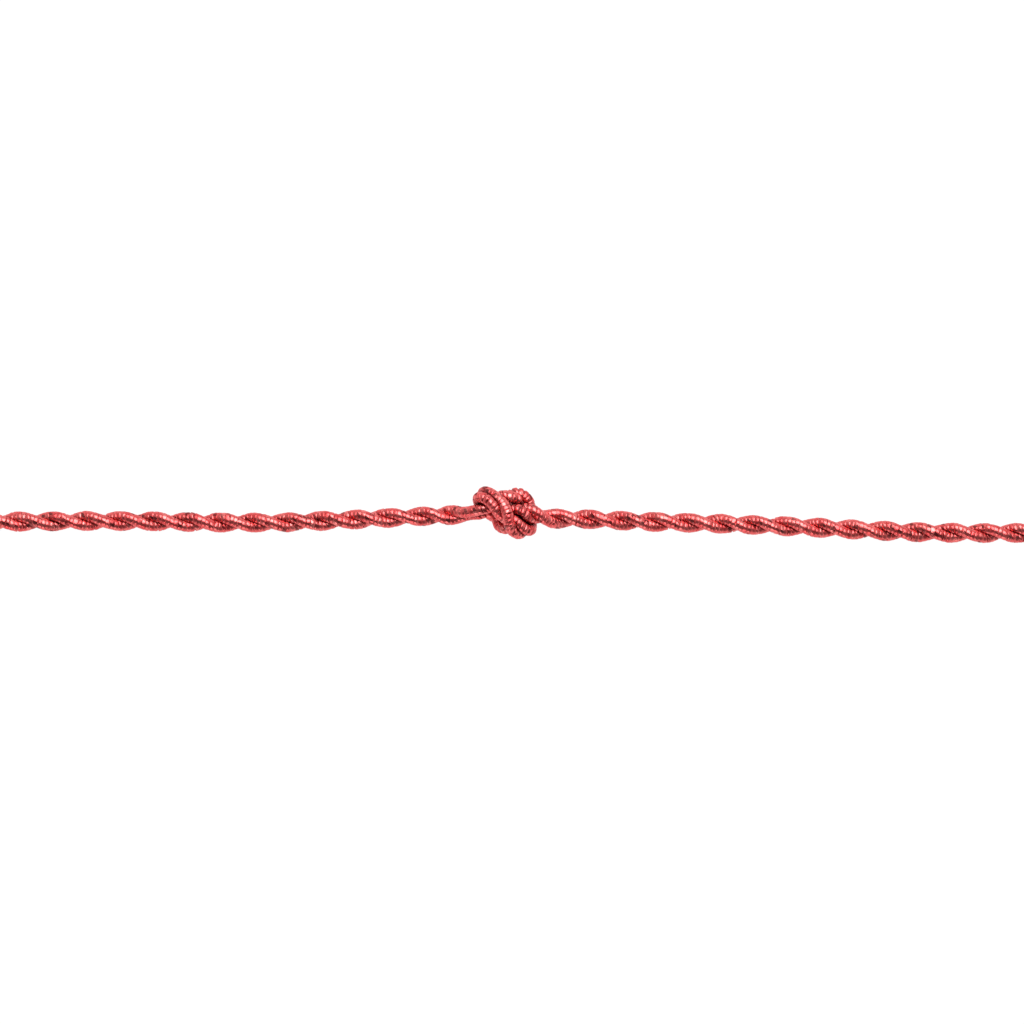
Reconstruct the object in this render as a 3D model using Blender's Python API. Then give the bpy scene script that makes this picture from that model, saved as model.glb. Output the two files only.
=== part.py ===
"""Twisted cord trim: a cut length of two-strand twisted cord with one overhand knot, lying on a surface.

Metres, +Z up, resting on z = 0. Run it with blender --background --python part.py,
or from the text editor.
"""

import math

import bpy
import numpy as np

MM = 0.001

# The cord: two round strands pressed together and twisted to the right
STRAND_RADIUS = 0.57 * MM
STRAND_OFFSET = 0.43 * MM
LAY_LEFT_OF_KNOT = 6.71 * MM
LAY_RIGHT_OF_KNOT = 6.58 * MM
REST_SINK = 0.05 * MM
REST_HEIGHT = STRAND_OFFSET + STRAND_RADIUS - REST_SINK

# Where the strands lie side by side next to the knot, and the turns they make between these places
LEFT_LOBE_X = -5.66 * MM
RIGHT_LOBE_X = 4.49 * MM
KNOT_TURNS = 4.5

# How the knot is drawn tight
STATION = 0.2 * MM
CLEARANCE = 0.06 * MM
SETTLE_ROUNDS = 240
LAST_FREE_ROUNDS = 60
HOLD_TO_ROUTE = 0.02
STIFFNESS = 0.4
OPENING = 0.25
BEND_RADIUS = 0.9 * MM
BEND_SPAN = 6
LOOSE_LENGTH = 8.0 * MM

# The mesh: corners on one strand's round, where that round ends, the filled groove between the strands,
# and the height under which a corner is pressed flat onto the surface
ROUND_CORNERS = 7
ROUND_ANGLE = math.radians(92)
GROOVE_HEIGHT = 0.38 * MM
FLAT_BELOW = 0.06 * MM
STATIONS_A_RING = 2
CENTRE_SHIFT_Y = 0.225 * MM

# The centre line left of the knot, in millimetres
LEFT_RUN = (
    # x, y
    (-56.2, -0.98),
    (-40.0, -0.85),
    (-25.0, -1.01),
    (-12.5, -0.56),
)

# The centre line through the knot: over its own end, round the back, across the front and out
KNOT = (
    # x, y, z, turns added to the even twist
    (-7.20, -0.30, 0.95, 0.000),
    (-5.87, -0.30, 1.00, 0.084),
    (-4.87, -0.17, 1.52, 0.151),
    (-3.71, 0.35, 2.14, 0.005),
    (-2.79, 0.66, 2.35, -0.287),
    (-2.04, 1.15, 2.27, -0.305),
    (-1.53, 1.20, 2.41, -0.111),
    (-1.01, 1.54, 2.36, -0.068),
    (0.22, 1.43, 2.17, -0.137),
    (1.26, 1.41, 1.58, -0.024),
    (1.48, 1.08, 1.01, -0.131),
    (1.61, 0.63, 1.04, -0.210),
    (1.44, -0.58, 1.07, -0.134),
    (1.47, -1.26, 1.61, -0.142),
    (1.15, -2.15, 2.63, -0.122),
    (0.20, -1.24, 3.55, 0.022),
    (-0.61, 0.12, 3.41, 0.105),
    (-1.21, 0.56, 3.71, 0.122),
    (-1.73, 1.01, 3.35, 0.218),
    (-2.43, 1.78, 3.17, 0.105),
    (-3.43, 1.40, 1.97, -0.098),
    (-3.07, 1.01, 1.21, -0.131),
    (-2.03, 0.44, 1.00, -0.071),
    (-1.04, -1.07, 1.23, -0.084),
    (-0.52, -1.68, 1.93, -0.088),
    (-0.19, -0.85, 2.42, -0.150),
    (0.12, -0.17, 2.80, -0.176),
    (1.24, -0.09, 3.05, -0.095),
    (1.89, -0.37, 2.75, 0.057),
    (2.82, -0.63, 2.07, 0.059),
    (3.95, -0.65, 1.44, -0.015),
    (5.40, -0.62, 0.95, 0.000),
)

# The centre line right of the knot, in millimetres
RIGHT_RUN = (
    # x, y
    (12.0, -0.86),
    (26.0, -1.31),
    (41.0, -1.98),
    (56.2, -2.04),
)

CORD_COLOUR = (0.55, 0.075, 0.08, 1.0)
CORD_ROUGHNESS = 0.35
CORD_METALLIC = 0.6


def unit(vectors):
    return vectors / np.linalg.norm(vectors, axis=-1, keepdims=True)


def distances_along(line):
    steps = np.linalg.norm(np.diff(line[:, :3], axis=0), axis=1)
    return np.concatenate([[0.0], np.cumsum(steps)])


def smooth_line(points, pieces=12):
    """A smooth curve through the points, with every column carried along."""
    knots = np.cumsum(np.sqrt(np.linalg.norm(np.diff(points[:, :3], axis=0), axis=1)))
    knots = np.concatenate([[0.0], knots])
    slopes = np.diff(points, axis=0) / np.diff(knots)[:, None]
    tangents = np.empty_like(points)
    tangents[0], tangents[-1] = slopes[0], slopes[-1]
    share = ((knots[1:-1] - knots[:-2]) / (knots[2:] - knots[:-2]))[:, None]
    tangents[1:-1] = slopes[:-1] * (1 - share) + slopes[1:] * share
    curve = []
    for i in range(len(points) - 1):
        span = knots[i + 1] - knots[i]
        for u in np.arange(pieces) / pieces:
            start = (2 * u**3 - 3 * u**2 + 1) * points[i] + (u**3 - 2 * u**2 + u) * span * tangents[i]
            end = (3 * u**2 - 2 * u**3) * points[i + 1] + (u**3 - u**2) * span * tangents[i + 1]
            curve.append(start + end)
    curve.append(points[-1])
    return np.array(curve)


def evenly_spaced(line, step):
    along = distances_along(line)
    count = int(round(along[-1] / step)) + 1
    places = np.linspace(0.0, along[-1], count)
    return np.stack([np.interp(places, along, column) for column in line.T], axis=1)


def centre_line():
    """The route as even stations: x, y, z and the turns added to the even twist."""
    rows = [(x, y, REST_HEIGHT / MM, 0.0) for x, y in LEFT_RUN]
    rows += [row for row in KNOT]
    rows += [(x, y, REST_HEIGHT / MM, 0.0) for x, y in RIGHT_RUN]
    points = np.array(rows)
    points[:, :3] *= MM
    points[:, 1] += CENTRE_SHIFT_Y
    return evenly_spaced(smooth_line(points), STATION)


def turns_along(line):
    """How often the strands have gone round, counted from the lobe left of the knot."""
    along = distances_along(line)
    x = line[:, 0]
    first = np.argmax(x > LEFT_LOBE_X)
    last = len(x) - 1 - np.argmax(x[::-1] < RIGHT_LOBE_X)
    left = np.interp(LEFT_LOBE_X, x[first - 1 : first + 1], along[first - 1 : first + 1])
    right = np.interp(RIGHT_LOBE_X, x[last : last + 2], along[last : last + 2])
    before = (along - left) / LAY_LEFT_OF_KNOT
    inside = (along - left) / (right - left) * KNOT_TURNS
    after = KNOT_TURNS + (along - right) / LAY_RIGHT_OF_KNOT
    turns = np.where(along < left, before, np.where(along > right, after, inside))
    return turns + line[:, 3], along, left, right


def settle(first, second):
    """The strands pushed clear of each other's passes, kept at length, side by side and not bent too sharply."""
    count = len(first)
    points = np.concatenate([first, second])
    home = points.copy()
    lengths = [np.linalg.norm(np.diff(strand, axis=0), axis=1) for strand in (first, second)]
    strands = (slice(0, count), slice(count, 2 * count))
    ends = [0, count - 1, count, 2 * count - 1]
    station = np.tile(np.arange(count), 2)
    neighbours = np.abs(station[:, None] - station[None, :]) <= int(2.0 * MM / STATION)
    reach = 2 * STRAND_RADIUS + CLEARANCE
    chord = 2 * BEND_RADIUS * math.sin(BEND_SPAN * STATION / (2 * BEND_RADIUS))
    for done in range(SETTLE_ROUNDS):
        apart = points[:, None, :] - points[None, :, :]
        far = np.sqrt((apart**2).sum(axis=2)) + 1e-12
        short = np.where(neighbours, 0.0, np.maximum(reach - far, 0.0))
        touching = np.maximum((short > 0).sum(axis=1), 1)[:, None]
        points += 0.6 * (apart / far[..., None] * short[..., None]).sum(axis=1) / touching
        pair = points[:count] - points[count:]
        spacing = np.linalg.norm(pair, axis=1)[:, None]
        push = 0.4 * (2 * STRAND_OFFSET - spacing) * pair / spacing
        forward = unit(np.gradient(points[:count] + points[count:], axis=0))
        push -= 0.2 * (pair * forward).sum(axis=1, keepdims=True) * forward
        points[:count] += push
        points[count:] -= push
        for strand, rest in zip(strands, lengths):
            line = points[strand]
            line[1:-1] += STIFFNESS * (0.5 * (line[:-2] + line[2:]) - line[1:-1])
            across = line[BEND_SPAN:] - line[:-BEND_SPAN]
            length = np.linalg.norm(across, axis=1)
            opening = (OPENING * np.maximum(chord - length, 0.0) / length)[:, None] * across
            line[BEND_SPAN:] += opening
            line[:-BEND_SPAN] -= opening
            for start in (0, 1):
                i = np.arange(start, count - 1, 2)
                link = line[i + 1] - line[i]
                length = np.linalg.norm(link, axis=1)
                change = (0.25 * (length - rest[i]) / length)[:, None] * link
                line[i] += change
                line[i + 1] -= change
        if done < SETTLE_ROUNDS - LAST_FREE_ROUNDS:
            points += HOLD_TO_ROUTE * (home - points)
        points[:, 2] = np.maximum(points[:, 2], STRAND_RADIUS - REST_SINK)
        points[ends] = home[ends]
    return points[:count], points[count:]


def strand_lines():
    """The centre lines of both strands along the whole cord."""
    line = centre_line()
    turns, along, left, right = turns_along(line)
    middle = line[:, :3]
    forward = unit(np.gradient(middle, axis=0))
    side = unit(np.cross((0.0, 0.0, 1.0), forward))
    over = np.cross(forward, side)
    angle = (2 * math.pi * turns)[:, None]
    offset = STRAND_OFFSET * (np.cos(angle) * side + np.sin(angle) * over)
    first, second = middle + offset, middle - offset
    knot = (along > left - LOOSE_LENGTH) & (along < right + LOOSE_LENGTH)
    first[knot], second[knot] = settle(first[knot], second[knot])
    return first, second


def ring_corners(first, second):
    """The cord's outline at every ring: round one strand, into the groove, round the other, into the groove."""
    angles = np.linspace(-ROUND_ANGLE, ROUND_ANGLE, ROUND_CORNERS)
    cos, sin = np.cos(angles)[None, :, None], np.sin(angles)[None, :, None]
    middle = (first + second) / 2
    cord_forward = unit(np.gradient(middle, axis=0))
    parts = []
    for strand, other in ((first, second), (second, first)):
        forward = unit(np.gradient(strand, axis=0))
        round_way = unit(np.cross(forward, strand - other))
        outward = np.cross(round_way, forward)
        arc = cos * outward[:, None, :] + sin * round_way[:, None, :]
        parts.append(strand[:, None, :] + STRAND_RADIUS * arc)
        groove_way = unit(np.cross(cord_forward, strand - other))
        parts.append((middle + GROOVE_HEIGHT * groove_way)[:, None, :])
    corners = np.concatenate(parts, axis=1)[::STATIONS_A_RING]
    corners[..., 2] = np.where(corners[..., 2] < FLAT_BELOW, 0.0, corners[..., 2])
    corners[0, :, 0] = LEFT_RUN[0][0] * MM
    corners[-1, :, 0] = RIGHT_RUN[-1][0] * MM
    return corners


def cord_mesh(name):
    first, second = strand_lines()
    if (len(first) - 1) % STATIONS_A_RING:
        first, second = first[:-1], second[:-1]
    corners = ring_corners(first, second)
    rings, sides = corners.shape[:2]
    faces = []
    for ring in range(rings - 1):
        for side in range(sides):
            a = ring * sides + side
            b = ring * sides + (side + 1) % sides
            faces.append((a, b, b + sides, a + sides))
    faces.append(tuple(reversed(range(sides))))
    faces.append(tuple(range((rings - 1) * sides, rings * sides)))
    mesh = bpy.data.meshes.new(name)
    mesh.from_pydata(corners.reshape(-1, 3).tolist(), [], faces)
    mesh.polygons.foreach_set("use_smooth", [True] * (len(faces) - 2) + [False] * 2)
    mesh.update()
    return mesh


def metallic_thread(name):
    material = bpy.data.materials.new(name)
    material.use_nodes = True
    shader = material.node_tree.nodes["Principled BSDF"]
    shader.inputs["Base Color"].default_value = CORD_COLOUR
    shader.inputs["Roughness"].default_value = CORD_ROUGHNESS
    shader.inputs["Metallic"].default_value = CORD_METALLIC
    material.diffuse_color = CORD_COLOUR
    return material


def main():
    for old in list(bpy.data.objects):
        bpy.data.objects.remove(old, do_unlink=True)
    cord = bpy.data.objects.new("cord", cord_mesh("cord"))
    cord.data.materials.append(metallic_thread("red_metallic_thread"))
    bpy.context.scene.collection.objects.link(cord)


main()
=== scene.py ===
import math

import bpy
import numpy as np
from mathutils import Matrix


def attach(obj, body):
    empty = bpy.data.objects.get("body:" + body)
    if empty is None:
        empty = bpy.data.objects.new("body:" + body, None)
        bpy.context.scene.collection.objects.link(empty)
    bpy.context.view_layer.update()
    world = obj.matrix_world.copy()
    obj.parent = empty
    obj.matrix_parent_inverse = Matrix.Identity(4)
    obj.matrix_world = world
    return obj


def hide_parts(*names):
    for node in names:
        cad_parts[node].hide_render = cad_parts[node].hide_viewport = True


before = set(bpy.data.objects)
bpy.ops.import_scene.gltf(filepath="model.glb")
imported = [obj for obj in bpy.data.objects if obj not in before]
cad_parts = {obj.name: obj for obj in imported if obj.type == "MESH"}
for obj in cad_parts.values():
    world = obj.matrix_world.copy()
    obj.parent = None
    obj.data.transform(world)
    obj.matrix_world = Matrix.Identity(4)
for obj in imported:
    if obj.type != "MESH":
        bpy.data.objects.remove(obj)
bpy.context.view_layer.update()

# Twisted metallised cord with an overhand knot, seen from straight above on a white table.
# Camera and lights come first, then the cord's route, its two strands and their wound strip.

mm = 0.001
farAway = 1.0    # metres, for distances that don't count

camera = {
    "height": 0.60,          # above the table
    "pictureWidth": 0.1024,  # what the camera sees from edge to edge at the cord's height
    "focusHeight": 0.0012,
    "sensor": 36.0,
    "lookAt": (0.0, 0.00027),
    "clip": (0.01, 10.0),
}


def makeCamera():
    cameraData = bpy.data.cameras.new("Camera")
    cameraData.sensor_width = camera["sensor"]
    reach = camera["height"] - camera["focusHeight"]
    cameraData.lens = camera["sensor"] * reach / camera["pictureWidth"]
    cameraData.clip_start, cameraData.clip_end = camera["clip"]
    cameraObject = bpy.data.objects.new("Camera", cameraData)
    cameraObject.location = (*camera["lookAt"], camera["height"])
    bpy.context.scene.collection.objects.link(cameraObject)
    bpy.context.scene.camera = cameraObject


makeCamera()
print("camera ready")


# The cord's route, in metres, as the frame has it
cord = {
    "diameter": 2.0 * mm,
    "strandRadius": 0.57 * mm,
    "strandOffset": 0.43 * mm,      # from the cord's middle to a strand's
    "restSink": 0.05 * mm,          # how far the cord is pressed flat on the table
    "centreShift": 0.225 * mm,      # moves the whole route to the middle of the frame
    "layLeftOfKnot": 6.71 * mm,     # one full turn of the twist
    "layRightOfKnot": 6.58 * mm,
    "leftLobe": -5.66 * mm,         # a strand lies on top at these two places
    "rightLobe": 4.49 * mm,
    "knotTurns": 4.5,               # of the twist, between them
    "station": 0.2 * mm,
    "routePieces": 12,              # of the smoothed line, between two points of the route
    "finePieces": 4,                # and between two stations
    "looseLength": 8.0 * mm,        # beyond the lobes, where the knot's pull ends
    "settleRounds": 240,
    "lastFreeRounds": 60,           # rounds at the end without the pull back to the route
    "holdToRoute": 0.02,
    "clearance": 0.06 * mm,
    "samePass": 2.0 * mm,           # nearer than this along the cord doesn't push
    "push": 0.6,
    "holdSpacing": 0.4,
    "holdSquare": 0.2,
    "stiffness": 0.4,
    "opening": 0.25,
    "bendRadius": 0.9 * mm,
    "bendSpan": 6,                  # in stations
    "holdLength": 0.25,
}

leftRun = (
    # x, y
    (-0.0562, -0.00098),
    (-0.0400, -0.00085),
    (-0.0250, -0.00101),
    (-0.0125, -0.00056),
)

knotRun = (
    # x, y, z, turns added to the even twist
    (-0.00720, -0.00030, 0.00095, 0.000),
    (-0.00587, -0.00030, 0.00100, 0.084),
    (-0.00487, -0.00017, 0.00152, 0.151),
    (-0.00371, 0.00035, 0.00214, 0.005),
    (-0.00279, 0.00066, 0.00235, -0.287),
    (-0.00204, 0.00115, 0.00227, -0.305),
    (-0.00153, 0.00120, 0.00241, -0.111),
    (-0.00101, 0.00154, 0.00236, -0.068),
    (0.00022, 0.00143, 0.00217, -0.137),
    (0.00126, 0.00141, 0.00158, -0.024),
    (0.00148, 0.00108, 0.00101, -0.131),
    (0.00161, 0.00063, 0.00104, -0.210),
    (0.00144, -0.00058, 0.00107, -0.134),
    (0.00147, -0.00126, 0.00161, -0.142),
    (0.00115, -0.00215, 0.00263, -0.122),
    (0.00020, -0.00124, 0.00355, 0.022),
    (-0.00061, 0.00012, 0.00341, 0.105),
    (-0.00121, 0.00056, 0.00371, 0.122),
    (-0.00173, 0.00101, 0.00335, 0.218),
    (-0.00243, 0.00178, 0.00317, 0.105),
    (-0.00343, 0.00140, 0.00197, -0.098),
    (-0.00307, 0.00101, 0.00121, -0.131),
    (-0.00203, 0.00044, 0.00100, -0.071),
    (-0.00104, -0.00107, 0.00123, -0.084),
    (-0.00052, -0.00168, 0.00193, -0.088),
    (-0.00019, -0.00085, 0.00242, -0.150),
    (0.00012, -0.00017, 0.00280, -0.176),
    (0.00124, -0.00009, 0.00305, -0.095),
    (0.00189, -0.00037, 0.00275, 0.057),
    (0.00282, -0.00063, 0.00207, 0.059),
    (0.00395, -0.00065, 0.00144, -0.015),
    (0.00540, -0.00062, 0.00095, 0.000),
)

rightRun = (
    # x, y
    (0.0120, -0.00086),
    (0.0260, -0.00131),
    (0.0410, -0.00198),
    (0.0562, -0.00204),
)


def unitRows(vectors):
    return vectors / np.linalg.norm(vectors, axis=-1, keepdims=True)


def distancesAlong(line):
    steps = np.linalg.norm(np.diff(line[:, :3], axis=0), axis=1)
    return np.concatenate([[0.0], np.cumsum(steps)])


def sampled(columns, along, places):
    return np.stack([np.interp(places, along, column) for column in columns.T], axis=-1)


def smoothLine(points, pieces):
    knots = np.cumsum(np.sqrt(np.linalg.norm(np.diff(points[:, :3], axis=0), axis=1)))
    knots = np.concatenate([[0.0], knots])
    slopes = np.diff(points, axis=0) / np.diff(knots)[:, None]
    tangents = np.empty_like(points)
    tangents[0], tangents[-1] = slopes[0], slopes[-1]
    share = ((knots[1:-1] - knots[:-2]) / (knots[2:] - knots[:-2]))[:, None]
    tangents[1:-1] = slopes[:-1] * (1 - share) + slopes[1:] * share
    span = np.diff(knots)[:, None]
    curve = np.empty((len(points) - 1, pieces, points.shape[1]))
    for k, u in enumerate(np.arange(pieces) / pieces):
        start = (2 * u**3 - 3 * u**2 + 1) * points[:-1] + (u**3 - 2 * u**2 + u) * span * tangents[:-1]
        end = (3 * u**2 - 2 * u**3) * points[1:] + (u**3 - u**2) * span * tangents[1:]
        curve[:, k] = start + end
    return np.concatenate([curve.reshape(-1, points.shape[1]), points[-1:]])


def evenlySpaced(line, step):
    along = distancesAlong(line)
    count = int(round(along[-1] / step)) + 1
    return sampled(line, along, np.linspace(0.0, along[-1], count))


def centreLine():
    restHeight = cord["strandOffset"] + cord["strandRadius"] - cord["restSink"]
    rows = [(x, y, restHeight, 0.0) for x, y in leftRun]
    rows += knotRun
    rows += [(x, y, restHeight, 0.0) for x, y in rightRun]
    points = np.array(rows)
    points[:, 1] += cord["centreShift"]
    return evenlySpaced(smoothLine(points, cord["routePieces"]), cord["station"])


# Turns of the twist at each station, and the distances to the two lobes
def turnsAlong(line):
    along = distancesAlong(line)
    x = line[:, 0]
    first = np.argmax(x > cord["leftLobe"])
    last = len(x) - 1 - np.argmax(x[::-1] < cord["rightLobe"])
    left = np.interp(cord["leftLobe"], x[first - 1 : first + 1], along[first - 1 : first + 1])
    right = np.interp(cord["rightLobe"], x[last : last + 2], along[last : last + 2])
    before = (along - left) / cord["layLeftOfKnot"]
    inside = (along - left) / (right - left) * cord["knotTurns"]
    after = cord["knotTurns"] + (along - right) / cord["layRightOfKnot"]
    turns = np.where(along < left, before, np.where(along > right, after, inside))
    return turns + line[:, 3], along, left, right


# Pushes the strands clear of each other's passes, keeps their length and spacing, limits the bends
def settleKnot(first, second):
    count = len(first)
    points = np.concatenate([first, second])
    home = points.copy()
    lengths = [np.linalg.norm(np.diff(strand, axis=0), axis=1) for strand in (first, second)]
    strands = (slice(0, count), slice(count, 2 * count))
    ends = [0, count - 1, count, 2 * count - 1]
    station = np.tile(np.arange(count), 2)
    neighbours = np.abs(station[:, None] - station[None, :]) <= int(cord["samePass"] / cord["station"])
    reach = 2 * cord["strandRadius"] + cord["clearance"]
    span = cord["bendSpan"]
    chord = 2 * cord["bendRadius"] * math.sin(span * cord["station"] / (2 * cord["bendRadius"]))
    for done in range(cord["settleRounds"]):
        apart = points[:, None, :] - points[None, :, :]
        far = np.sqrt((apart**2).sum(axis=2)) + 1e-12
        short = np.where(neighbours, 0.0, np.maximum(reach - far, 0.0))
        touching = np.maximum((short > 0).sum(axis=1), 1)[:, None]
        points += cord["push"] * (apart / far[..., None] * short[..., None]).sum(axis=1) / touching
        pair = points[:count] - points[count:]
        spacing = np.linalg.norm(pair, axis=1)[:, None]
        push = cord["holdSpacing"] * (2 * cord["strandOffset"] - spacing) * pair / spacing
        forward = unitRows(np.gradient(points[:count] + points[count:], axis=0))
        push -= cord["holdSquare"] * (pair * forward).sum(axis=1, keepdims=True) * forward
        points[:count] += push
        points[count:] -= push
        for strand, rest in zip(strands, lengths):
            line = points[strand]
            line[1:-1] += cord["stiffness"] * (0.5 * (line[:-2] + line[2:]) - line[1:-1])
            across = line[span:] - line[:-span]
            length = np.linalg.norm(across, axis=1)
            opening = (cord["opening"] * np.maximum(chord - length, 0.0) / length)[:, None] * across
            line[span:] += opening
            line[:-span] -= opening
            for start in (0, 1):
                i = np.arange(start, count - 1, 2)
                link = line[i + 1] - line[i]
                length = np.linalg.norm(link, axis=1)
                change = (cord["holdLength"] * (length - rest[i]) / length)[:, None] * link
                line[i] += change
                line[i + 1] -= change
        if done < cord["settleRounds"] - cord["lastFreeRounds"]:
            points += cord["holdToRoute"] * (home - points)
        points[:, 2] = np.maximum(points[:, 2], cord["strandRadius"] - cord["restSink"])
        points[ends] = home[ends]
    return points[:count], points[count:]


def strandLines():
    line = centreLine()
    turns, along, left, right = turnsAlong(line)
    middle = line[:, :3]
    forward = unitRows(np.gradient(middle, axis=0))
    side = unitRows(np.cross((0.0, 0.0, 1.0), forward))
    over = np.cross(forward, side)
    angle = (2 * math.pi * turns)[:, None]
    offset = cord["strandOffset"] * (np.cos(angle) * side + np.sin(angle) * over)
    first, second = middle + offset, middle - offset
    knot = (along > left - cord["looseLength"]) & (along < right + cord["looseLength"])
    first[knot], second[knot] = settleKnot(first[knot], second[knot])
    return first, second


firstStrand, secondStrand = strandLines()
print("cord route ready:", len(firstStrand), "stations")


# The strip wound round each strand
winding = {
    "pitch": 0.43 * mm,        # one turn of strip to the next
    "segments": 24,            # round the strand
    "outerRadius": 0.575 * mm,
    "stripHeight": 0.016 * mm,
    "gapDepth": 0.24 * mm,     # where a gap between two turns is open
    "closedDepth": 0.02,       # share of that depth where it is closed
    "closedOverlap": 0.12,     # how much wider the strip lies there, in pitches
    "gapLevel": -0.5,          # higher opens more of the gaps
    "gapContrast": 1.6,
    "bendFrom": 0.25,          # bends sharper than this, strand radius over bend radius, part the turns outside
    "bendOpens": 1.6,
    "bendMost": 0.6,
    "wander": 0.14,            # how far a turn strays, in pitches
    "lift": 0.012 * mm,        # how far a turn stands up or sinks
    "tilt": 0.014 * mm,        # one edge of the strip higher than the other
    "widthSpread": 0.08,
    "crinkle": 0.003 * mm,
    "patchCells": 10,          # flattened patches round the strand
    "patchLength": 1.2 * mm,
    "patchDepth": 0.036 * mm,
    "swellAt": (-0.02 * mm, 1.03 * mm),    # where three passes meet in the knot and bulge to close the space
    "swell": 0.065 * mm,
    "swellReach": 0.9 * mm,
    "cleftStart": 0.30,        # how far round towards the other strand the painted shade of the groove begins
    "cleftWidth": 0.45,
    "cleftShade": 0.75,
    # painted shade where passes of the knot lie close together
    "creviceWithin": 8.0 * mm,    # of the knot's middle
    "samePass": 2.2 * mm,
    "creviceReach": 0.95 * mm,    # from another pass's centre line
    "creviceFade": 0.32 * mm,
    "creviceShade": 0.9,
    "batch": 2000,             # points measured against the other passes at a time
    "strandSeeds": (11, 29),
}

# Weight and spacing, in turns, of the waves that make the turns uneven
unevenness = {
    "wander": ((1.0, 0.5), (0.7, 3.1)),
    "lift": ((0.8, 0.09), (0.6, 1.7)),
    "lean": ((0.8, 0.08), (0.5, 0.5)),
    "width": ((1.0, 0.4),),
    "gaps": ((1.0, 0.085),),
}

# Across one pitch: share of the pitch, share of the strip's height, tilt weight, in the gap or not
stripSection = (
    # place, height, tilt, strip
    (0.00, -1.00, 0.0, 0.0),
    (0.09, -0.60, -0.9, 0.6),
    (0.15, 0.45, -0.8, 1.0),
    (0.32, 0.90, -0.4, 1.0),
    (0.50, 1.00, 0.0, 1.0),
    (0.68, 0.90, 0.4, 1.0),
    (0.85, 0.45, 0.8, 1.0),
    (0.91, -0.60, 0.9, 0.6),
)


def eased(share):
    return share * share * (3 - 2 * share)


def smoothNoise(rng, positions, spacing):
    low = math.floor(positions.min() / spacing) - 1
    count = math.ceil(positions.max() / spacing) - low + 3
    values = rng.uniform(-1.0, 1.0, count)
    scaled = positions / spacing - low
    index = np.floor(scaled).astype(int)
    share = eased(scaled - index)
    return values[index] * (1 - share) + values[index + 1] * share


def layeredNoise(rng, u, name):
    return sum(weight * smoothNoise(rng, u, spacing) for weight, spacing in unevenness[name])


# Long low patches, uneven round the strand and slowly changing along it
def patchNoise(rng, turn, s):
    cells = winding["patchCells"]
    rows = math.ceil(s.max() / winding["patchLength"]) + 2
    values = rng.uniform(-1.0, 1.0, (rows, cells))
    roundScaled, alongScaled = (turn % 1.0) * cells, s / winding["patchLength"]
    column, row = np.floor(roundScaled).astype(int) % cells, np.floor(alongScaled).astype(int)
    across, further = eased(roundScaled - np.floor(roundScaled)), eased(alongScaled - row)
    nextColumn = (column + 1) % cells
    near = values[row, column] * (1 - across) + values[row, nextColumn] * across
    far = values[row + 1, column] * (1 - across) + values[row + 1, nextColumn] * across
    return near * (1 - further) + far * further


# Position, outward and round directions and bend of a strand, in columns, with the distance along it
def strandFrame(strand, other):
    fine = smoothLine(np.concatenate([strand, other], axis=1), cord["finePieces"])
    own, partner = fine[:, :3], fine[:, 3:]
    along = distancesAlong(own)
    forward = unitRows(np.gradient(own, axis=0))
    roundWay = unitRows(np.cross(forward, own - partner))
    outward = np.cross(roundWay, forward)
    bend = np.gradient(forward, axis=0) / np.gradient(along)[:, None]
    return np.concatenate([own, outward, roundWay, bend], axis=1), along


# How much the turns are pulled apart at each gap, on the outside of a bend
def stretchOutside(u, columns, along, pitch):
    frameAt = sampled(columns, along, np.clip((u - 1.0) * pitch, 0.0, along[-1]))
    outward, roundWay, bend = frameAt[:, 3:6], frameAt[:, 6:9], frameAt[:, 9:12]
    angle = (2 * math.pi * u)[:, None]
    facing = np.cos(angle) * outward + np.sin(angle) * roundWay
    outside = -winding["outerRadius"] * (bend * facing).sum(axis=1)
    return np.clip(outside - winding["bendFrom"], 0.0, 1.0)


# How each turn of strip strays, stands, leans, widens and parts from the next
def unevenTurns(rng, u, stretched):
    wander = winding["wander"] * layeredNoise(rng, u, "wander")
    lift = winding["lift"] * layeredNoise(rng, u, "lift")
    lean = winding["tilt"] * layeredNoise(rng, u, "lean")
    width = (1.0 + winding["widthSpread"] * layeredNoise(rng, u, "width")) / (1.0 + stretched)
    opened = np.clip(winding["gapContrast"] * layeredNoise(rng, u, "gaps") + winding["gapLevel"], 0.0, 1.0)
    opened = np.maximum(opened, np.minimum(winding["bendOpens"] * stretched, winding["bendMost"]))
    return [values[:, None] for values in (wander, lift, lean, width, opened)]


# From the strand's middle to the strip's surface, with the strand cut off where the other one lies
def stripRadius(rng, turn, s, section, lift, lean, opened, position):
    height, tilt, strip = section
    depth = winding["closedDepth"] + (1.0 - winding["closedDepth"]) * opened
    rise = np.where(height > 0, (height - 1.0) * winding["stripHeight"], -winding["stripHeight"])
    rise = rise + np.where(height < 0, height * winding["gapDepth"], 0.0) * depth
    radius = winding["outerRadius"] + rise + winding["patchDepth"] * patchNoise(rng, turn, s)
    radius += strip * (lift + lean * tilt)
    radius += strip * winding["crinkle"] * rng.uniform(-1.0, 1.0, s.shape)
    away = np.linalg.norm(position[..., :2] - np.array(winding["swellAt"]), axis=-1)
    radius += winding["swell"] * np.exp(-((away / winding["swellReach"]) ** 2) / 2)
    towards = -np.cos(2 * math.pi * turn)
    return np.minimum(radius, np.where(towards > 0, cord["strandOffset"] / np.maximum(towards, 1e-6), farAway))
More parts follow.
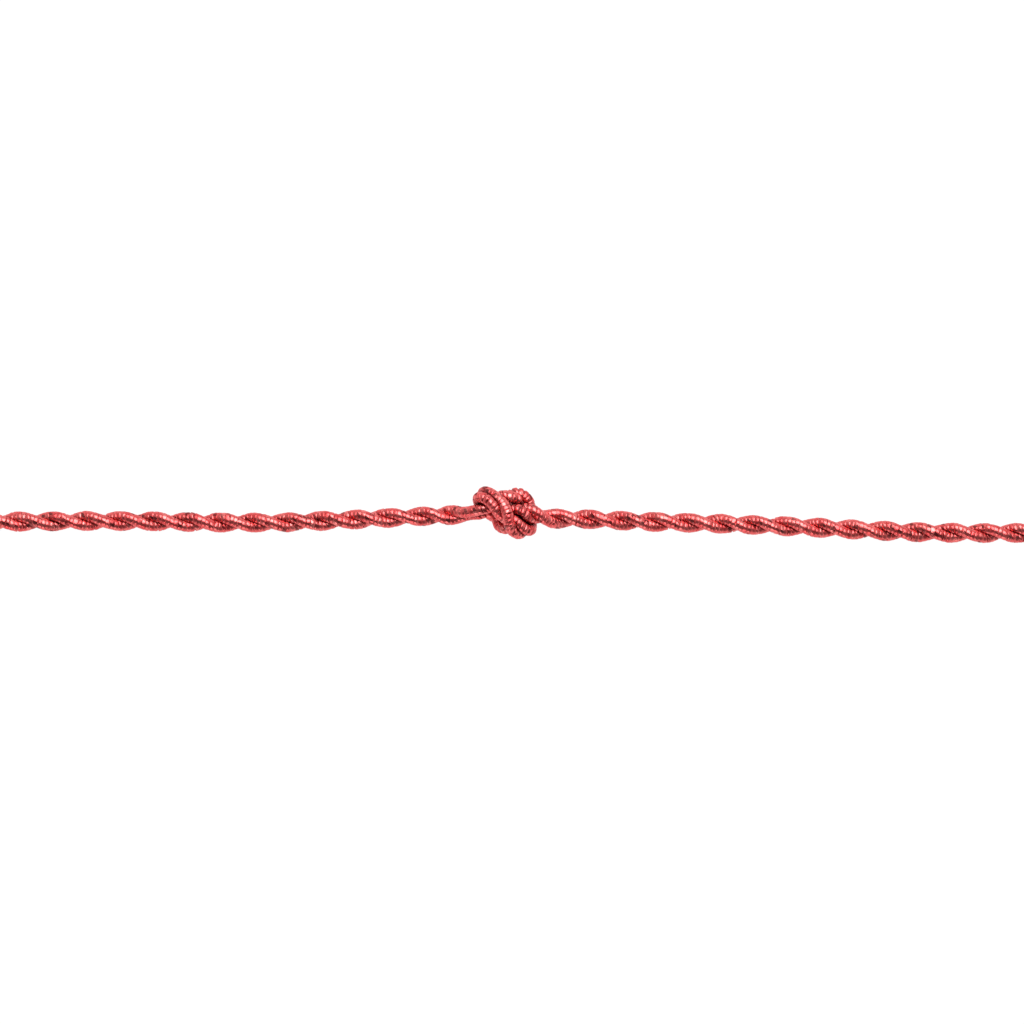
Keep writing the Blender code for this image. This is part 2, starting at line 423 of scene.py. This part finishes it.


# Where the foil comes close to another pass of the knot, from 0 to 1: where the painted shade of the knot's
# crevices falls
def creviceNearness(points, s, strand, other, stationAlong):
    nearness = np.zeros(s.shape)
    inKnot = np.abs(points[..., 0]) < winding["creviceWithin"]
    spots, places = points[inKnot], s[inKnot]
    passes, passAlong = np.concatenate([strand, other]), np.tile(stationAlong, 2)
    nearest = np.empty(len(spots))
    for start in range(0, len(spots), winding["batch"]):
        part = slice(start, start + winding["batch"])
        far = np.linalg.norm(spots[part, None, :] - passes[None, :, :], axis=-1)
        far[np.abs(places[part, None] - passAlong[None, :]) < winding["samePass"]] = farAway
        nearest[part] = far.min(axis=1)
    nearness[inKnot] = np.clip((winding["creviceReach"] - nearest) / winding["creviceFade"], 0.0, 1.0)
    return nearness


# Bright foil is 1; painted shade makes it less in the open gaps, in the groove between the strands and in the
# knot's crevices
def foilShareWithPaintedShade(strip, opened, turn, crevice):
    share = np.maximum(strip, 1.0 - opened)
    cleft = np.clip((-np.cos(2 * math.pi * turn) - winding["cleftStart"]) / winding["cleftWidth"], 0.0, 1.0)
    return share * (1.0 - winding["cleftShade"] * cleft) * (1.0 - winding["creviceShade"] * crevice)


def woundStrand(name, strand, other, seed):
    rng = np.random.default_rng(seed)
    columns, along = strandFrame(strand, other)
    length, segments = along[-1], winding["segments"]
    turns = int(length / winding["pitch"])
    pitch = length / turns
    u = np.arange(turns * segments + 1) / segments
    stretched = stretchOutside(u, columns, along, pitch)
    wander, lift, lean, width, opened = unevenTurns(rng, u, stretched)

    place, *section = np.array(stripSection).T
    centre = place[len(place) // 2]
    spread = centre + (place - centre) * (width + winding["closedOverlap"] * (1.0 - opened))
    spread[:, 0] = place[0]
    s = np.clip((u[:, None] - 1.0 + spread + wander) * pitch, 0.0, length)
    turn = u[:, None] + np.zeros_like(s)

    frameAt = sampled(columns, along, s)
    position, outward, roundWay = frameAt[..., :3], unitRows(frameAt[..., 3:6]), unitRows(frameAt[..., 6:9])
    radius = stripRadius(rng, turn, s, section, lift, lean, opened, position)
    angle = 2 * math.pi * turn[..., None]
    points = position + radius[..., None] * (np.cos(angle) * outward + np.sin(angle) * roundWay)
    points[..., 2] = np.maximum(points[..., 2], 0.0)

    crevice = creviceNearness(points, s, strand, other, along[:: cord["finePieces"]])
    foilAndPaintedShade = foilShareWithPaintedShade(section[-1], opened, turn, crevice)
    wind = np.stack([turn, place + np.zeros_like(s), np.zeros_like(s)], axis=-1)
    return meshFromWinding(name, points, wind, foilAndPaintedShade, segments)


# One closed skin: each turn joins the next, and both ends are closed by a flat face
def meshFromWinding(name, points, wind, foilAndPaintedShade, segments):
    steps, across = points.shape[:2]
    index = np.arange(steps * across).reshape(steps, across)
    quads = [
        np.stack([index[:-1, m], index[:-1, m + 1], index[1:, m + 1], index[1:, m]], axis=-1)
        for m in range(across - 1)
    ]
    last = steps - segments
    edges = [index[: last - 1, -1], index[segments:-1, 0], index[segments + 1 :, 0], index[1:last, -1]]
    quads.append(np.stack(edges, axis=-1))
    faces = [tuple(row) for row in np.concatenate(quads).tolist()]
    startLoop = index[: segments + 1, 0].tolist() + index[0, across - 1 : 0 : -1].tolist()
    endLoop = index[last - 1 :, -1].tolist() + index[-1, across - 2 :: -1].tolist()
    faces += [tuple(startLoop), tuple(reversed(endLoop))]

    mesh = bpy.data.meshes.new(name)
    mesh.from_pydata(points.reshape(-1, 3).tolist(), [], faces)
    mesh.validate()
    mesh.polygons.foreach_set("use_smooth", [len(face) == 4 for face in faces])    # the cut ends stay flat
    # the strip attribute carries the foil share with the painted shade of the gaps, the groove and the crevices
    mesh.attributes.new("strip", "FLOAT", "POINT").data.foreach_set("value", foilAndPaintedShade.ravel())
    mesh.attributes.new("wind", "FLOAT_VECTOR", "POINT").data.foreach_set("vector", wind.ravel())
    piece = bpy.data.objects.new(name, mesh)
    bpy.context.scene.collection.objects.link(piece)
    return piece


firstPiece = woundStrand("strandA", firstStrand, secondStrand, winding["strandSeeds"][0])
secondPiece = woundStrand("strandB", secondStrand, firstStrand, winding["strandSeeds"][1])
print("strands wound:", len(firstPiece.data.polygons), "faces each")


foil = {
    "colour": (0.70, 0.078, 0.080, 1.0),
    # painted shade: the dark colour for the open gaps, the groove between the strands and the knot's crevices
    "paintedShadeColour": (0.05, 0.007, 0.011, 1.0),
    "paleColour": (0.84, 0.20, 0.19, 1.0),
    "metallic": 0.94,
    "roughness": 0.26,
    "roughnessSpread": 0.14,
    "coat": 0.08,
    "grazingTint": (1.0, 0.70, 0.70, 1.0),
    "coatRoughness": 0.18,
    "facetLength": 0.09,    # along the strip, in turns
    "facetWidth": 2.60,     # across the strip, in pitches
    "facetTilt": 0.12,
    "shadedFacets": 0.08,     # share of the facets darkened with painted shade, standing in for dark gaps
    "shadedFacetEdge": 0.03,
    "facetPaintedShade": 0.35,
    "tintScale": 2.7,       # changes of tint per turn of strip
    "tintDetail": 2.0,
    "tintRange": (0.35, 0.75),
}


def link(tree, fromNode, fromSocket, toNode, toSocket):
    tree.links.new(fromNode.outputs[fromSocket], toNode.inputs[toSocket])


def mathNode(tree, operation, **values):
    node = tree.nodes.new("ShaderNodeVectorMath")
    node.operation = operation
    for socket, value in values.items():
        node.inputs[int(socket[1:])].default_value = value
    return node


def foilMaterial():
    material = bpy.data.materials.new("redFoil")
    material.use_nodes = True
    tree = material.node_tree
    shader = tree.nodes["Principled BSDF"]
    shader.inputs["Metallic"].default_value = foil["metallic"]
    shader.inputs["Specular Tint"].default_value = foil["grazingTint"]
    shader.inputs["Coat Weight"].default_value = foil["coat"]
    shader.inputs["Coat Roughness"].default_value = foil["coatRoughness"]
    stripAndShadePart = tree.nodes.new("ShaderNodeAttribute")
    stripAndShadePart.attribute_name = "strip"
    windPart = tree.nodes.new("ShaderNodeAttribute")
    windPart.attribute_name = "wind"

    # facets: the light falls on each cell of the foil a little differently
    facets = tree.nodes.new("ShaderNodeTexVoronoi")
    facets.voronoi_dimensions = "2D"
    facets.inputs["Scale"].default_value = 1.0
    cells = mathNode(tree, "MULTIPLY", _1=(1.0 / foil["facetLength"], 1.0 / foil["facetWidth"], 1.0))
    link(tree, windPart, "Vector", cells, 0)
    link(tree, cells, 0, facets, "Vector")
    centred = mathNode(tree, "SUBTRACT", _1=(0.5, 0.5, 0.5))
    link(tree, facets, "Color", centred, 0)
    scaled = mathNode(tree, "SCALE")
    scaled.inputs["Scale"].default_value = foil["facetTilt"]
    link(tree, centred, 0, scaled, 0)
    geometry = tree.nodes.new("ShaderNodeNewGeometry")
    leaning = mathNode(tree, "ADD")
    link(tree, geometry, "Normal", leaning, 0)
    link(tree, scaled, 0, leaning, 1)
    normal = mathNode(tree, "NORMALIZE")
    link(tree, leaning, 0, normal, 0)
    link(tree, normal, 0, shader, "Normal")

    # colour: each stretch of strip a little different; painted shade on some facets, in the open gaps, in the
    # groove between the strands and in the knot's crevices
    stretch = tree.nodes.new("ShaderNodeTexNoise")
    stretch.noise_dimensions = "1D"
    stretch.inputs["Scale"].default_value = foil["tintScale"]
    stretch.inputs["Detail"].default_value = foil["tintDetail"]
    alongStrip = tree.nodes.new("ShaderNodeSeparateXYZ")
    link(tree, windPart, "Vector", alongStrip, "Vector")
    link(tree, alongStrip, "X", stretch, "W")
    tint = tree.nodes.new("ShaderNodeValToRGB")
    colours = (foil["colour"], foil["paleColour"])
    for stop, position, colour in zip(tint.color_ramp.elements, foil["tintRange"], colours):
        stop.position, stop.color = position, colour
    link(tree, stretch, "Fac", tint, "Fac")
    channels = tree.nodes.new("ShaderNodeSeparateColor")
    link(tree, facets, "Color", channels, "Color")
    # painted shade: a few random facets darkened like the shaded gaps
    facetShade = tree.nodes.new("ShaderNodeMapRange")
    facetShade.inputs["From Min"].default_value = foil["shadedFacets"] - foil["shadedFacetEdge"]
    facetShade.inputs["From Max"].default_value = foil["shadedFacets"] + foil["shadedFacetEdge"]
    facetShade.inputs["To Min"].default_value = foil["facetPaintedShade"]
    facetShade.inputs["To Max"].default_value = 1.0
    link(tree, channels, "Green", facetShade, "Value")
    shaded = mathNode(tree, "SCALE")
    link(tree, tint, "Color", shaded, 0)
    link(tree, facetShade, "Result", shaded, "Scale")
    # painted shade: mixes the foil towards the dark colour where the strip attribute is low
    paintedShadeMix = tree.nodes.new("ShaderNodeMix")
    paintedShadeMix.data_type = "RGBA"
    paintedShadeMix.inputs[6].default_value = foil["paintedShadeColour"]
    link(tree, stripAndShadePart, "Fac", paintedShadeMix, 0)
    link(tree, shaded, 0, paintedShadeMix, 7)
    link(tree, paintedShadeMix, 2, shader, "Base Color")

    roughness = tree.nodes.new("ShaderNodeMapRange")
    roughness.inputs["To Min"].default_value = foil["roughness"] - foil["roughnessSpread"] / 2
    roughness.inputs["To Max"].default_value = foil["roughness"] + foil["roughnessSpread"] / 2
    link(tree, channels, "Blue", roughness, "Value")
    link(tree, roughness, "Result", shader, "Roughness")
    return material


redFoil = foilMaterial()
for piece in (firstPiece, secondPiece):
    piece.data.materials.append(redFoil)
    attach(piece, "root")
    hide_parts("cord")

print("cord declared")


table = {
    "size": 3.0,
    "depth": 0.00003,    # just under the cord
    "colour": (0.05, 0.05, 0.05, 1.0),
    "roughness": 0.9,
    "glow": 1.0,
}


def makeTable():
    bpy.ops.object.select_all(action="DESELECT")
    bpy.ops.mesh.primitive_plane_add(size=table["size"], location=(0, 0, -table["depth"]))
    floor = bpy.context.object
    floor.name = "whiteTable"
    material = bpy.data.materials.new("whiteTable")
    material.use_nodes = True
    shader = material.node_tree.nodes["Principled BSDF"]
    shader.inputs["Base Color"].default_value = table["colour"]
    shader.inputs["Roughness"].default_value = table["roughness"]
    shader.inputs["Specular IOR Level"].default_value = 0.0
    shader.inputs["Emission Color"].default_value = (1.0, 1.0, 1.0, 1.0)
    shader.inputs["Emission Strength"].default_value = table["glow"]
    floor.data.materials.append(material)


studio = {
    "dark": 0.14,         # where the camera and the photographer stand
    "low": 0.62,
    "darkTilt": 33.0,     # degrees from straight up, towards the picture's bottom
    "darkAngle": 8.0,    # from there, where it starts to brighten
    "fullAngle": 58.0,
    "darkStretch": 2.0,   # how much wider it is from left to right
    # name, x, y, z, size, power
    "lamps": (
        ("keyLight", 0.05, 0.46, 0.64, 0.75, 7.8),
        ("fillLight", -0.15, -0.75, 0.28, 0.40, 1.0),
    ),
}


def makeStudio():
    world = bpy.data.worlds.new("studio")
    bpy.context.scene.world = world
    world.use_nodes = True
    tree = world.node_tree
    background = tree.nodes["Background"]
    coordinates = tree.nodes.new("ShaderNodeTexCoord")
    tilt = math.radians(studio["darkTilt"])
    narrowed = mathNode(tree, "MULTIPLY", _1=(1.0 / studio["darkStretch"], 1.0, 1.0))
    link(tree, coordinates, "Generated", narrowed, 0)
    direction = mathNode(tree, "NORMALIZE")
    link(tree, narrowed, 0, direction, 0)
    towards = mathNode(tree, "DOT_PRODUCT", _1=(0.0, -math.sin(tilt), math.cos(tilt)))
    link(tree, direction, 0, towards, 0)
    ramp = tree.nodes.new("ShaderNodeMapRange")
    ramp.interpolation_type = "SMOOTHSTEP"
    ramp.inputs["From Min"].default_value = math.cos(math.radians(studio["fullAngle"]))
    ramp.inputs["From Max"].default_value = math.cos(math.radians(studio["darkAngle"]))
    ramp.inputs["To Min"].default_value = studio["low"]
    ramp.inputs["To Max"].default_value = studio["dark"]
    link(tree, towards, "Value", ramp, "Value")
    background.inputs["Color"].default_value = (1.0, 1.0, 1.0, 1.0)
    link(tree, ramp, "Result", background, "Strength")
    for name, x, y, z, size, power in studio["lamps"]:
        lampData = bpy.data.lights.new(name, "AREA")
        lampData.shape = "SQUARE"
        lampData.size = size
        lampData.energy = power
        lamp = bpy.data.objects.new(name, lampData)
        lamp.location = (x, y, z)
        aim = -np.array((x, y, z))
        lamp.rotation_euler = (
            math.atan2(math.hypot(aim[0], aim[1]), -aim[2]),
            0.0,
            math.atan2(-aim[0], aim[1]),
        )
        bpy.context.scene.collection.objects.link(lamp)


makeTable()
makeStudio()
bpy.context.scene.view_settings.view_transform = "Standard"
print("table and studio ready")
